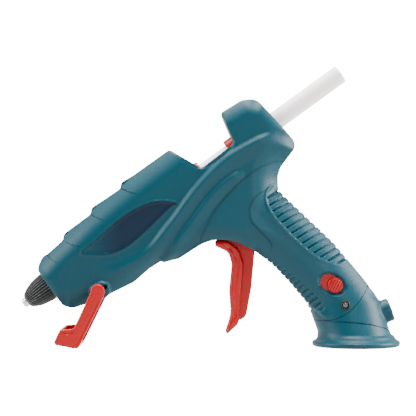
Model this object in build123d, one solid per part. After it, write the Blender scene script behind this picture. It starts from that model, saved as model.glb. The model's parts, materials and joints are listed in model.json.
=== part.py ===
from build123d import *
import os
from math import cos, radians, sin, tan

# Hot glue gun that stands on a round foot. Millimetres, +Z up, +X towards the rear.
# The origin is the centre of the foot's flat underside. The housing parts at y = 0,
# and the user's left side, which carries the switch, is at negative y.

# ---- driving dimensions ----
barrel_tilt = 36.0          # degrees that the barrel axis rises towards the rear
tip_x = -199.5              # nozzle end on the barrel axis
tip_z = 25.2
body_half_width = 17.5
body_edge_radius = 3.0
handle_half_width = 15.0
handle_edge_radius = 4.5
wall = 2.2
foot_radius = 26.4
foot_rim_height = 2.6
foot_shoulder_height = 4.6
foot_rim_width = 2.8        # rim left round the recess in the underside
pad_thickness = 1.6
plate_thickness = 1.8

stick_diameter = 11.2
stick_start = 70.0          # places along the barrel axis are measured from the nozzle end
stick_end = 235.0
tip_diameter = 5.5
tip_length = 3.0
orifice_radius = 0.9
sleeve_front_radius = 4.25
sleeve_radius = 8.95
sleeve_flange = 2.0
face_start = 20.1           # front face of the housing
chamber_start = 25.0
thread_radius = 4.0
thread_length = 8.0
passage_radius = 2.6
ball_radius = 2.2
chamber_wall = 3.4
chamber_end = 92.0
spigot_length = 10.0
spigot_radius = 7.3
heater_length = 28.0
heater_half_width = 6.4
heater_thickness = 3.0
inlet_wall = 2.6
inlet_end = 134.0
clamp_wire = 1.2

collar_wall = 2.7
collar_start = 153.8
collar_end = 176.0
collar_gap_start = 162.6    # the gap in the collar that holds the gripper plate
collar_gap_end = 168.4
gripper_thickness = 3.0
gripper_bore_gap = 0.7
rail_thickness = 2.5
rail_depth = 4.6
drive_pin_radius = 1.5

trigger_pivot_x = -66.0
trigger_pivot_z = 76.0
trigger_travel = 22.0       # degrees
trigger_web_half = 4.0
trigger_pad_half = 7.6
trigger_hub_half = 5.0
trigger_hub_radius = 5.0
lever_half_thickness = 2.9
pivot_pin_radius = 2.0
spring_wire_radius = 0.55
spring_turns = 3.0

stand_pivot_x = -153.7
stand_pivot_z = 33.7
stand_peg_radius = 2.2
stand_peg_length = 3.6
stand_arm_thickness = 3.0
stand_disc_radius = 4.3
stand_boss_height = 0.9
stand_gap = 0.4

knob_radius = 4.3
knob_x = -13.6
knob_z = 37.1
knob_travel = 4.4
knob_direction = 154.0      # degrees from +X in the side view
knob_stand_out = 1.0
slider_thickness = 1.2

lamp_x = -7.7
lamp_z = 25.5
lamp_bezel_radius = 2.8
lamp_lens_radius = 1.9
lamp_face = 17.6            # distance of the bezel's face from the centre plane

inlet_x = 21.0
inlet_z = 22.3
inlet_tilt = 21.0           # degrees that the socket looks upwards
inlet_boss_radius = 6.9
socket_radius = 5.2
socket_depth = 8.0
socket_pin_radius = 0.9
socket_pin_spacing = 5.0
socket_pin_length = 5.0

screw_radius = 1.3
screw_head_radius = 2.6
screw_head_height = 1.6
screw_boss_radius = 3.0
screw_well_depth = 5.0      # from the side of the housing down to the head
screw_well_wall = 1.4
screw_length = 18.0
wire_radius = 0.9

# ---- clearances ----
running = 0.05              # pin in a hole that turns on it
press = 0.05                # screw or pin in a hole that holds it
sliding = 0.25              # stick in its bore
fork_gap = 0.2
seat = 0.15
swing_gap = 0.4
travel_gap = 0.5
wire_gap = 1.9              # from the wires that run up the handle to its wall
board_gap = 0.7             # from the lamp's board to the switch slider

# ---- worked out ----
tilt = radians(barrel_tilt)
rearward = Vector(cos(tilt), 0, sin(tilt))
upward = Vector(-sin(tilt), 0, cos(tilt))
stick_radius = stick_diameter / 2
bore_radius = stick_radius + sliding
chamber_radius = bore_radius + chamber_wall
inlet_radius = stick_radius + inlet_wall
collar_radius = stick_radius + collar_wall
inner_half_width = body_half_width - wall
rail_top = collar_radius + 0.6
drive_pin_drop = rail_top + 3.0
arm_inner = body_half_width + stand_boss_height + stand_gap
arm_outer = arm_inner + stand_arm_thickness


def barrel_point(s, p=0.0, y=0.0):
    """A point s along the barrel, p above its axis and y to the right."""
    return Vector(tip_x, y, tip_z) + rearward * s + upward * p


def barrel_coords(x, z):
    """Place along the barrel and height above its axis of a point in the side view."""
    offset = Vector(x - tip_x, 0, z - tip_z)
    return offset.dot(rearward), offset.dot(upward)


def barrel_tube(start, end, outer, inner=0.0):
    """A round bar or tube on the barrel axis."""
    profile = Circle(outer) if inner == 0 else Circle(outer) - Circle(inner)
    return extrude(Plane(origin=barrel_point(start), z_dir=rearward) * profile, end - start)


def barrel_turned(*points):
    """A turned piece on the barrel axis, from (place, radius) points."""
    plane = Plane(origin=barrel_point(0), x_dir=rearward, z_dir=(0, -1, 0))
    return revolve(plane * make_face(Polyline(*points, close=True)), Axis(barrel_point(0), rearward))


def barrel_block(start, end, low, high, y_low, y_high):
    """A block square to the barrel axis."""
    plane = Plane(origin=barrel_point(0, 0, y_high), x_dir=rearward, z_dir=(0, -1, 0))
    corners = [(start, low), (end, low), (end, high), (start, high)]
    return extrude(plane * make_face(Polyline(*corners, close=True)), y_high - y_low)


def side_face(outline):
    """The face inside (x, z, corner radius) points of the side view."""
    points = [(x, z) for x, z, radius in outline]
    return make_face(FilletPolyline(*points, radius=[radius for x, z, radius in outline], close=True))


def side_solid(face, y_low, y_high):
    """A side-view face given its width."""
    plane = Plane(origin=(0, y_high, 0), x_dir=(1, 0, 0), z_dir=(0, -1, 0))
    return extrude(plane * face, y_high - y_low)


def cross_pin(x, z, radius, y_low, y_high):
    """A round bar across the gun."""
    return extrude(Plane(origin=(x, y_low, z), z_dir=(0, 1, 0)) * Circle(radius), y_high - y_low)


def tube_along(points, bends, radius):
    """A wire of straight runs and tangent arcs."""
    path = FilletPolyline(*points, radius=bends)
    return sweep(Plane(origin=path @ 0, z_dir=path % 0) * Circle(radius), path)


# ---- housing ----
# Side view of the barrel and its hump: (x, z, corner radius), from the nozzle's underside
# forwards and over the top.
barrel_outline = [
    (-175.0, 24.2, 3.6), (-190.6, 46.4, 3.6), (-187.2, 55.2, 3.6), (-175.6, 63.4, 1.2),
    (-174.6, 68.4, 3.4), (-158.8, 79.2, 1.2), (-157.8, 84.0, 3.4), (-141.0, 94.6, 1.2),
    (-140.0, 99.6, 3.4), (-111.6, 118.2, 3.4), (-92.0, 106.2, 2.0), (-73.0, 121.6, 2.0),
    (-81.6, 139.4, 3.4), (-65.5, 149.6, 6.0), (-36.2, 121.6, 4.0), (-47.6, 104.0, 8.0),
    (-47.6, 84.0, 4.0), (-62.0, 57.0, 3.6), (-84.0, 64.4, 8.0), (-94.5, 62.0, 6.0),
    (-106.0, 52.6, 6.0), (-116.0, 51.8, 5.0), (-133.0, 38.6, 12.0), (-152.0, 28.6, 12.0),
]
handle_outline = [
    (-68.0, 90.0, 5.0), (-47.0, 92.0, 5.0), (-14.0, 62.6, 14.0), (7.0, 37.6, 14.0),
    (15.0, 22.0, 8.0), (13.0, 9.0, 5.0), (-22.0, 9.0, 5.0), (-25.6, 18.0, 10.0),
    (-34.0, 31.6, 12.0), (-47.0, 45.6, 24.0), (-60.0, 56.4, 5.0), (-72.0, 66.0, 5.0),
]
# The neck of the foot: height, middle, half length and half width of each section.
neck_sections = [
    (foot_shoulder_height, -0.6, foot_radius - 3.6, foot_radius - 3.8),
    (15.0, -3.4, 21.8, 18.8),
    (27.0, -7.9, 22.2, 16.4),
    (38.0, -16.6, 22.0, handle_half_width - 0.6),
]
recess_radius = foot_radius - foot_rim_width
recess_height = pad_thickness + plate_thickness


def rounded_body(outline, half_width, edge_radius):
    """An outline given its width, with its side edges rounded."""
    body = side_solid(side_face(outline), -half_width, half_width)
    rims = body.faces().filter_by(Axis.Y).edges()
    return fillet(rims, edge_radius)


def neck_solid(inset, low):
    """The neck of the foot, or with an inset its hollow."""
    sections = []
    for height, middle, half_length, half_width in neck_sections:
        level = low if height == foot_shoulder_height else height
        sections.append(Pos(middle, 0, level) * Ellipse(half_length - inset, half_width - inset))
    return loft(sections)


foot_profile = [
    (0, 0), (foot_radius - 0.9, 0), (foot_radius, 1.0), (foot_radius, foot_rim_height),
    (foot_radius - 1.2, foot_rim_height + 1.1), (foot_radius - 3.6, foot_shoulder_height),
    (foot_radius - 3.6, foot_shoulder_height + 0.6), (0, foot_shoulder_height + 0.6),
]
flange = revolve(Plane.XZ * make_face(Polyline(*foot_profile, close=True)), Axis.Z)

barrel_body = rounded_body(barrel_outline, body_half_width, body_edge_radius)
handle_body = rounded_body(handle_outline, handle_half_width, handle_edge_radius)
neck_body = neck_solid(0, foot_shoulder_height)
outer = barrel_body + handle_body + neck_body + flange

barrel_hollow = side_solid(offset(side_face(barrel_outline), -wall), -inner_half_width, inner_half_width)
handle_hollow = side_solid(
    offset(side_face(handle_outline), -wall), wall - handle_half_width, handle_half_width - wall
)
neck_hollow = neck_solid(wall, recess_height)
shell = outer - barrel_hollow - handle_hollow - neck_hollow

# Where the moulded halves end and the foot's own moulding begins.
seam_line = [Line((-60, -5), (-60, 15.6)), Line((-60, 15.6), (-20, 16.0))]
seam_line += [ThreePointArc((-20, 16.0), (-2.3, 24.4), (7, 38)), Line((7, 38), (60, 38))]
seam_line += [Line((60, 38), (60, -5)), Line((60, -5), (-60, -5))]
foot_side = side_solid(make_face(Wire(seam_line)), -60, 60)

# Bosses across the inside: (x, z) of each screw.
screw_spots = []
front_screw_rise = chamber_radius + screw_boss_radius + seat     # just clear of the melt chamber
for s, p in [(41.0, front_screw_rise), (80.0, -22.5), (112.0, 15.5), (176.0, 15.5)]:
    spot = barrel_point(s, p)
    screw_spots.append((spot.X, spot.Z))
screw_spots += [(-51.5, 86.0), (-28.0, 63.0), (-31.0, 38.4)]

# The screws enter from the right. Each place has the distance out to the top of its head.
screw_seat = {}
for x, z in screw_spots:
    near_handle = x > -56 and z < 90
    outer_y = handle_half_width if near_handle else body_half_width
    screw_seat[(x, z)] = outer_y - screw_well_depth

trigger_boss_start = trigger_hub_half + swing_gap
bosses = Part()
for (x, z), seat_y in screw_seat.items():
    bosses += cross_pin(x, z, screw_boss_radius, -body_half_width, body_half_width)
    well_floor = seat_y - screw_head_height - screw_well_wall
    bosses += cross_pin(x, z, screw_head_radius + screw_well_wall, well_floor, body_half_width)
for side in (-1, 1):
    y_low, y_high = sorted((side * trigger_boss_start, side * body_half_width))
    bosses += cross_pin(trigger_pivot_x, trigger_pivot_z, pivot_pin_radius + 2.0, y_low, y_high)
    y_low, y_high = sorted((side * (body_half_width - 6.0), side * body_half_width))
    bosses += cross_pin(stand_pivot_x, stand_pivot_z, stand_peg_radius + 2.2, y_low, y_high)
shell += bosses & outer

# Raised pads that the stand turns on.
pad_face = Pos(stand_pivot_x + 1.2, stand_pivot_z) * Rot(0, 0, barrel_tilt) * SlotOverall(13.0, 10.0)
for side in (-1, 1):
    y_low, y_high = sorted((side * (body_half_width - 0.5), side * (body_half_width + stand_boss_height)))
    shell += side_solid(pad_face, y_low, y_high)

# Openings.
peg_hole = stand_peg_radius + running
shell -= cross_pin(
    stand_pivot_x, stand_pivot_z, peg_hole, arm_inner - stand_peg_length - 0.5, arm_outer
)
shell -= cross_pin(
    stand_pivot_x, stand_pivot_z, peg_hole, -arm_outer, 0.5 + stand_peg_length - arm_inner
)
pin_half = body_half_width - wall - 1.5
shell -= cross_pin(trigger_pivot_x, trigger_pivot_z, pivot_pin_radius + press, -pin_half, pin_half)
shell -= barrel_tube(face_start - 8, face_start + 8, sleeve_radius + seat)
shell -= barrel_tube(108, collar_end + 4, collar_radius + travel_gap)
shell -= barrel_tube(collar_end, 200, stick_radius + travel_gap)
slot_outline = [(-88, 59), (-88, 72), (-56, 72), (-46, 60), (-44.5, 43.5), (-54, 43.5), (-66, 54)]
trigger_slot = side_solid(
    make_face(Polyline(*slot_outline, close=True)), -trigger_web_half - 0.8, trigger_web_half + 0.8
)
shell -= trigger_slot

# The switch's slot in the left wall, long enough for the knob and its travel.
knob_angle = radians(knob_direction)
knob_step_x = cos(knob_angle) * knob_travel
knob_step_z = sin(knob_angle) * knob_travel
switch_x = knob_x + knob_step_x / 2
switch_z = knob_z + knob_step_z / 2
window = Pos(switch_x, switch_z) * Rot(0, 0, knob_direction) * SlotCenterToCenter(
    knob_travel, 2 * (knob_radius + travel_gap)
)
shell -= side_solid(window, -body_half_width - 2, wall - handle_half_width + 1)
shell -= cross_pin(lamp_x, lamp_z, lamp_bezel_radius + press, -25, -8)

# The socket's boss at the back of the foot.
inlet_axis = Vector(cos(radians(inlet_tilt)), 0, sin(radians(inlet_tilt)))


def inlet_bar(start, end, radius, y=0.0):
    """A round bar on the socket's axis, measured from its outer face."""
    centre = Vector(inlet_x, y, inlet_z) + inlet_axis * start
    return extrude(Plane(origin=centre, z_dir=inlet_axis) * Circle(radius), end - start)


socket_body_radius = inlet_boss_radius - 1.0
socket_back = -socket_depth - 2.0
shell += inlet_bar(-7.5, 0, inlet_boss_radius)
shell -= inlet_bar(socket_back - 1, 1, socket_body_radius + press)

# Foot: recess, screw posts, and the split from the halves.
shell -= Pos(0, 0, recess_height / 2) * Cylinder(recess_radius, recess_height)
foot_screw_circle = foot_radius - 9.4
foot_screw_angles = (60, 180, 300)
post_height = 9.0
foot_screw_depth = 6.0
posts = Part()
for angle in foot_screw_angles:
    spot = Vector(foot_screw_circle, 0, 0).rotate(Axis.Z, angle)
    posts += Pos(spot.X, spot.Y, recess_height + post_height / 2) * Cylinder(screw_boss_radius, post_height)
    web = Pos(foot_screw_circle + 5, 0, recess_height + post_height / 2) * Box(10, 2.4, post_height)
    posts += web.rotate(Axis.Z, angle)
shell += posts & outer
for angle in foot_screw_angles:
    spot = Vector(foot_screw_circle, 0, 0).rotate(Axis.Z, angle)
    shell -= Pos(spot.X, spot.Y, recess_height + foot_screw_depth / 2) * Cylinder(
        screw_radius + press, foot_screw_depth
    )
foot_moulding = shell & foot_side
halves = shell - foot_side

for (x, z), seat_y in screw_seat.items():
    end_y = seat_y - screw_head_height - screw_length
    halves -= cross_pin(x, z, screw_radius + press, end_y - 1.0, body_half_width)
    halves -= cross_pin(x, z, screw_head_radius + press, seat_y - screw_head_height, body_half_width + 1)

half_box = Box(400, 100, 400, align=(Align.CENTER, Align.MAX, Align.CENTER))
left_shell = halves & half_box
right_shell = halves - half_box

# ---- foot pieces ----
plate_disc = Pos(0, 0, pad_thickness + plate_thickness / 2) * Cylinder(recess_radius - seat, plate_thickness)
rubber_pad = Pos(0, 0, pad_thickness / 2) * Cylinder(recess_radius - seat, pad_thickness)
foot_screws = []
for angle in foot_screw_angles:
    spot = Vector(foot_screw_circle, 0, 0).rotate(Axis.Z, angle)
    shank_top = recess_height + foot_screw_depth - 0.5
    head = Pos(spot.X, spot.Y, pad_thickness + screw_head_height / 2) * Cylinder(
        screw_head_radius, screw_head_height
    )
    shank = Pos(spot.X, spot.Y, (pad_thickness + shank_top) / 2) * Cylinder(
        screw_radius, shank_top - pad_thickness
    )
    foot_screws.append(head + shank)
    plate_disc -= Pos(spot.X, spot.Y, pad_thickness + screw_head_height / 2) * Cylinder(
        screw_head_radius + press, screw_head_height
    )
    plate_disc -= Pos(spot.X, spot.Y, 2) * Cylinder(screw_radius + press, 8)

shell_screws = []
for (x, z), seat_y in screw_seat.items():
    head = cross_pin(x, z, screw_head_radius, seat_y - screw_head_height, seat_y)
    shank = cross_pin(x, z, screw_radius, seat_y - screw_head_height - screw_length, seat_y - 0.1)
    recess = cross_pin(x, z, 0.9, seat_y - 0.9, seat_y + 0.1)
    shell_screws.append(head + shank - recess)

# ---- nozzle and melt chamber ----
tip_radius = tip_diameter / 2
cone_start_radius = tip_radius + 0.3
cone_end_radius = sleeve_radius - 2.5
seat_end = chamber_start - 1.0
seat_start = seat_end - 3.0
nozzle_tip = barrel_turned(
    (0, orifice_radius), (0, tip_radius - 0.6), (0.6, tip_radius), (tip_length, tip_radius),
    (tip_length, cone_start_radius), (face_start, cone_end_radius), (chamber_start, cone_end_radius),
    (chamber_start, thread_radius), (chamber_start + thread_length, thread_radius),
    (chamber_start + thread_length, passage_radius), (seat_end, passage_radius),
    (seat_start, orifice_radius),
)
nozzle_sleeve = barrel_turned(
    (tip_length, cone_start_radius), (tip_length, sleeve_front_radius),
    (tip_length + 6.0, sleeve_front_radius + 2.5), (face_start - 4.0, sleeve_radius - 0.4),
    (face_start, sleeve_radius), (face_start + wall + seat, sleeve_radius),
    (face_start + wall + seat, sleeve_radius + sleeve_flange),
    (chamber_start - 0.3, sleeve_radius + sleeve_flange),
    (chamber_start - 0.3, cone_end_radius), (face_start, cone_end_radius),
)
ball_place = seat_end + 0.2
check_ball = Pos(barrel_point(ball_place)) * Sphere(ball_radius)
coil_radius = passage_radius - 0.5
coil_start = ball_place + ball_radius + 0.45
coil_length = chamber_start + thread_length - coil_start - 0.6
coil_path = Helix(coil_length / 5, coil_length, coil_radius, center=barrel_point(coil_start), direction=rearward)
check_spring = sweep(Plane(origin=coil_path @ 0, z_dir=coil_path % 0) * Circle(0.3), coil_path, is_frenet=True)

bore_start = chamber_start + thread_length + 12.0
melt_chamber = barrel_turned(
    (chamber_start, thread_radius + press), (chamber_start, chamber_radius - 2.0),
    (chamber_start + 4.0, chamber_radius), (chamber_end, chamber_radius), (chamber_end, spigot_radius),
    (chamber_end + spigot_length, spigot_radius), (chamber_end + spigot_length, bore_radius),
    (bore_start, bore_radius), (bore_start - 7.0, passage_radius),
    (chamber_start + thread_length, passage_radius),
    (chamber_start + thread_length, thread_radius + press),
)
heater_start = bore_start + 7.0
heater_end = heater_start + heater_length
heater_top = -bore_radius - chamber_wall - 1.8
heater_bottom = heater_top - heater_thickness
block_half = heater_half_width + 1.6
block_bottom = heater_bottom - 2.0
chamber_block = barrel_block(heater_start - 3.0, heater_end + 1.0, block_bottom, -bore_radius - 1.5,
                             -block_half, block_half)
heater_pocket = barrel_block(heater_start - 0.1, heater_end + 2.0, heater_bottom - 0.1, heater_top + 0.1,
                             -heater_half_width - 0.1, heater_half_width + 0.1)
melt_chamber = melt_chamber + (chamber_block - barrel_tube(0, 120, bore_radius + 1.0)) - heater_pocket
ptc_heater = barrel_block(heater_start, heater_end, heater_bottom, heater_top,
                          -heater_half_width, heater_half_width)
clip_thickness = 0.8
clip_start = heater_start + 6.0
clip_end = heater_end - 6.0
heater_clip = barrel_block(clip_start, clip_end, block_bottom - clip_thickness, block_bottom + 6.0,
                           -block_half - clip_thickness, block_half + clip_thickness)
heater_clip -= barrel_block(clip_start - 1, clip_end + 1, block_bottom, block_bottom + 7.0,
                            -block_half, block_half)
ring_radius = inner_half_width - seat
ring_flat = 14.0            # the rings are flat above and below, to clear the housing's top
flats = barrel_block(0, 120, -ring_flat, ring_flat, -ring_radius - 1, ring_radius + 1)
front_ring = barrel_tube(chamber_start + 5.0, chamber_start + 10.0, ring_radius, chamber_radius) & flats
rear_ring = barrel_tube(chamber_end - 7.0, chamber_end - 2.0, ring_radius, chamber_radius) & flats
rear_ring -= barrel_block(0, 120, -20.0, -chamber_radius - 0.4, -9.4, 9.4)
cuff_end = chamber_end + spigot_length + 2.0
cuff_radius = spigot_radius + 2.2
inlet_sleeve = barrel_turned(
    (chamber_end, spigot_radius), (chamber_end, cuff_radius), (cuff_end, cuff_radius),
    (cuff_end + 2.0, inlet_radius), (inlet_end, inlet_radius), (inlet_end, stick_radius + 0.4),
    (inlet_end - 2.0, bore_radius), (chamber_end + spigot_length, bore_radius),
    (chamber_end + spigot_length, spigot_radius),
)
clamp_place = chamber_end + spigot_length / 2
sleeve_clamp = barrel_tube(clamp_place - 1.5, clamp_place + 1.5, cuff_radius + clamp_wire, cuff_radius)
sleeve_clamp += barrel_block(clamp_place - 1.5, clamp_place + 1.5, cuff_radius + 0.5, cuff_radius + 4.0, -2.0, 2.0)

# ---- feed ----
pivot_s, pivot_p = barrel_coords(trigger_pivot_x, trigger_pivot_z)
lever_height = -drive_pin_drop - pivot_p
half_swing = radians(trigger_travel / 2)
carriage_stroke = 2 * lever_height * tan(half_swing)
pin_s = pivot_s + carriage_stroke / 2
rail_inner = lever_half_thickness + swing_gap
rail_outer = rail_inner + rail_thickness
carriage = barrel_tube(collar_start, collar_gap_start, collar_radius, stick_radius + travel_gap)
carriage += barrel_tube(collar_gap_end, collar_end, collar_radius, stick_radius + travel_gap)
for side in (-1, 1):
    y_low, y_high = sorted((side * rail_inner, side * rail_outer))
    carriage += barrel_block(pin_s - 3.5, collar_end, -rail_top - rail_depth, -rail_top, y_low, y_high)
    for start, end in ((collar_start, collar_gap_start), (collar_gap_end, collar_end)):
        leg = barrel_block(start, end, -rail_top - 0.5, 0, y_low, y_high)
        carriage += leg - barrel_tube(0, 240, stick_radius + travel_gap + 0.3)


def on_barrel_pin(s, p, radius, half_length):
    """A pin across the barrel."""
    spot = barrel_point(s, p)
    return cross_pin(spot.X, spot.Z, radius, -half_length, half_length)


gripper_pin_drop = rail_top + 2.0
gripper_s = collar_gap_start + 0.5 + gripper_thickness / 2
drive_pin = on_barrel_pin(pin_s, -drive_pin_drop, drive_pin_radius, rail_outer)
gripper_pin = on_barrel_pin(gripper_s, -gripper_pin_drop, 1.2, rail_outer)
carriage -= on_barrel_pin(pin_s, -drive_pin_drop, drive_pin_radius + press, rail_outer + 1)
carriage -= on_barrel_pin(gripper_s, -gripper_pin_drop, 1.2 + press, rail_outer + 1)
gripper_low = gripper_s - gripper_thickness / 2
gripper_high = gripper_s + gripper_thickness / 2
gripper_tab_half = rail_inner - 0.4
gripper_plate = barrel_tube(gripper_low, gripper_high, collar_radius, stick_radius + gripper_bore_gap)
gripper_tab = barrel_block(gripper_low, gripper_high, -gripper_pin_drop - 2.4, -collar_radius + 1.0,
                           -gripper_tab_half, gripper_tab_half)
gripper_plate += gripper_tab - barrel_tube(0, 240, stick_radius + gripper_bore_gap)
gripper_plate -= on_barrel_pin(gripper_s, -gripper_pin_drop, 1.2 + running, rail_outer)
glue_stick = barrel_tube(stick_start, stick_end, stick_radius)

# ---- trigger ----
pad_outline = [
    (-84.8, 63.0, 1.5), (-84.4, 59.2, 1.0), (-76.2, 55.6, 5.0), (-73.9, 49.0, 5.0), (-75.8, 33.0, 20.0),
    (-75.2, 19.0, 20.0), (-78.6, 8.2, 0.8), (-76.6, 6.8, 0.8), (-70.4, 13.4, 6.0), (-69.0, 24.0, 20.0),
    (-67.2, 49.0, 5.0), (-70.2, 57.6, 5.0), (-77.6, 61.8, 2.0),
]
web_outline = [
    (-74.0, 49.0, 3.0), (-73.5, 15.5, 1.5), (-66.0, 16.6, 5.0), (-62.6, 36.0, 20.0),
    (-60.6, 57.0, 6.0), (-59.6, 74.0, 6.0), (-67.0, 81.0, 6.0), (-73.0, 72.0, 6.0), (-72.0, 57.0, 4.0),
]
lever_length = lever_height + 2.6
lever_angle = barrel_tilt + 90.0 - trigger_travel / 2
lever_plane = Pos(trigger_pivot_x, trigger_pivot_z) * Rot(0, 0, lever_angle)
lever_face = lever_plane * Pos(lever_length / 2, 0) * Rectangle(lever_length, 8.4)
fork_half = drive_pin_radius + fork_gap
fork_face = lever_plane * Pos(lever_height, 0) * Rectangle(9.0, 2 * fork_half)
trigger = side_solid(side_face(pad_outline), -trigger_pad_half, trigger_pad_half)
trigger += side_solid(side_face(web_outline), -trigger_web_half, trigger_web_half)
trigger += cross_pin(trigger_pivot_x, trigger_pivot_z, trigger_hub_radius, -trigger_hub_half, trigger_hub_half)
trigger += side_solid(lever_face, -lever_half_thickness, lever_half_thickness)
trigger -= side_solid(fork_face, -10, 10)
trigger -= cross_pin(trigger_pivot_x, trigger_pivot_z, pivot_pin_radius + running, -10, 10)
pivot_pin = cross_pin(trigger_pivot_x, trigger_pivot_z, pivot_pin_radius, 0.3 - pin_half, pin_half - 0.3)

spring_radius = pivot_pin_radius + 3.6
spring_pitch = 2 * spring_wire_radius + 0.15
spring_start = trigger_hub_half + 1.2
spring_path = Helix(
    spring_pitch, spring_pitch * spring_turns, spring_radius,
    center=(trigger_pivot_x, spring_start, trigger_pivot_z), direction=(0, 1, 0),
)
return_spring = sweep(
    Plane(origin=spring_path @ 0, z_dir=spring_path % 0) * Circle(spring_wire_radius),
    spring_path, is_frenet=True,
)
leg_length = 9.0
leg_start = spring_path @ 0
leg_direction = (spring_path % 0) * -1
return_spring += extrude(
    Plane(origin=leg_start, z_dir=leg_direction) * Circle(spring_wire_radius), leg_length
)

# ---- stand ----
arm_outline = [
    (-157.9, 33.4, 2.0), (-149.9, 33.4, 2.0), (-149.9, 30.8, 2.0), (-165.2, 0.0, 0.6), (-168.6, 0.2, 2.0),
    (-178.6, 2.2, 0.8), (-179.6, 3.6, 0.8), (-175.9, 11.3, 1.2), (-167.8, 11.8, 1.2),
]
toe_outline = [
    (-165.4, 0.0, 0.5), (-168.6, 0.2, 2.0), (-178.6, 2.2, 0.8), (-179.6, 3.6, 0.8), (-175.9, 11.3, 0.6),
    (-174.1, 11.3, 0.6), (-177.2, 4.6, 0.8), (-168.4, 2.8, 2.0), (-164.2, 2.6, 0.5),
]
stand = side_solid(side_face(toe_outline), -arm_outer, arm_outer)
for side in (-1, 1):
    y_low, y_high = sorted((side * arm_inner, side * arm_outer))
    stand += side_solid(side_face(arm_outline), y_low, y_high)
    stand += cross_pin(stand_pivot_x, stand_pivot_z, stand_disc_radius, y_low, y_high)
    y_low, y_high = sorted((side * (arm_inner - stand_peg_length), side * (arm_inner + 0.5)))
    stand += cross_pin(stand_pivot_x, stand_pivot_z, stand_peg_radius, y_low, y_high)

# ---- switch, lamp and supply ----
slider_back = handle_half_width - wall - swing_gap
slider_front = slider_back - slider_thickness
knob_top = handle_half_width + knob_stand_out
knob = cross_pin(knob_x, knob_z, knob_radius, -knob_top, -slider_back)
slider_face = Pos(knob_x, knob_z) * Rot(0, 0, knob_direction) * RectangleRounded(19.0, 11.4, 3.0)
slider = side_solid(slider_face, -slider_back, -slider_front)
stem_half = 1.4
slider += cross_pin(knob_x, knob_z, stem_half, -slider_front, 2.0 - slider_front)
switch_depth = 7.0
switch_front = slider_front - swing_gap
switch_face = Pos(switch_x, switch_z) * Rot(0, 0, knob_direction) * Rectangle(16.0, 8.0)
switch_body = side_solid(switch_face, -switch_front, switch_depth - switch_front)
stem_slot = Pos(switch_x, switch_z) * Rot(0, 0, knob_direction) * SlotCenterToCenter(
    knob_travel, 2 * (stem_half + swing_gap)
)
switch_body -= side_solid(stem_slot, -switch_front - 1, 3.0 - switch_front)

board_front = slider_front - board_gap
bezel = cross_pin(lamp_x, lamp_z, lamp_bezel_radius, -lamp_face, wall - handle_half_width + 0.3)
bezel -= cross_pin(lamp_x, lamp_z, lamp_lens_radius + press, -25, 0)
lens = cross_pin(lamp_x, lamp_z, lamp_lens_radius, 0.6 - lamp_face, -board_front)
lens += Pos(lamp_x, 0.6 - lamp_face, lamp_z) * Sphere(lamp_lens_radius) & cross_pin(
    lamp_x, lamp_z, lamp_lens_radius, -lamp_face - 0.9, -12.0
)
board_thickness = 1.4
circuit_board = Pos(lamp_x, press + board_thickness / 2 - board_front, lamp_z) * Box(16.0, board_thickness, 9.0)

power_inlet = inlet_bar(socket_back, -0.4, socket_body_radius) - inlet_bar(-socket_depth, 1, socket_radius)
inlet_pins = []
for y in (-socket_pin_spacing / 2, socket_pin_spacing / 2):
    power_inlet -= inlet_bar(socket_back - 1, 1, socket_pin_radius + press, y)
    inlet_pins.append(inlet_bar(socket_back - 2.5, socket_pin_length - socket_depth, socket_pin_radius, y))


def pin_end(y):
    """Where a socket pin ends inside the foot."""
    return Vector(inlet_x, y, inlet_z) + inlet_axis * (socket_back - 2.5)


wire_y = handle_half_width - wall - wire_radius - wire_gap
heater_tail = barrel_point(heater_end + wire_radius, (heater_top + heater_bottom) / 2)
up_the_handle = [(-40.0, 61.0), (-60.0, 67.6), (-92.0, 70.0), (-116.0, 68.0)]
switch_rear_y = switch_depth - switch_front
live_wire = tube_along(
    [pin_end(-2.5), pin_end(-2.5) - inlet_axis * 5.0, Vector(-1.0, -1.0, 33.0),
     Vector(switch_x + 3.0, switch_rear_y + 4.6, switch_z - 0.5),
     Vector(switch_x + 3.0, switch_rear_y, switch_z - 0.5)],
    [2.0, 3.0, 2.0], wire_radius,
)
switched_points = [Vector(switch_x - 4.0, switch_rear_y, switch_z + 2.0)]
switched_points += [Vector(switch_x - 4.0, switch_rear_y + 4.6, switch_z + 2.0), Vector(-29.0, -3.0, 51.0)]
switched_points += [Vector(x, -wire_y, z) for x, z in up_the_handle]
switched_points += [heater_tail + Vector(3.0, -4.0, 2.6), heater_tail + Vector(0, -3.0, 0)]
switched_wire = tube_along(switched_points, [2.0, 4.0, 5.0, 8.0, 8.0, 4.0, 0.9], wire_radius)
neutral_points = [pin_end(2.5), pin_end(2.5) - inlet_axis * 5.0]
neutral_points += [Vector(-14.0, wire_y, 38.0)]
neutral_points += [Vector(x, wire_y, z) for x, z in up_the_handle]
neutral_points += [heater_tail + Vector(3.0, 4.0, 2.6), heater_tail + Vector(0, 3.0, 0)]
neutral_wire = tube_along(neutral_points, [2.5, 8.0, 8.0, 8.0, 8.0, 4.0, 0.9], wire_radius)

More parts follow.
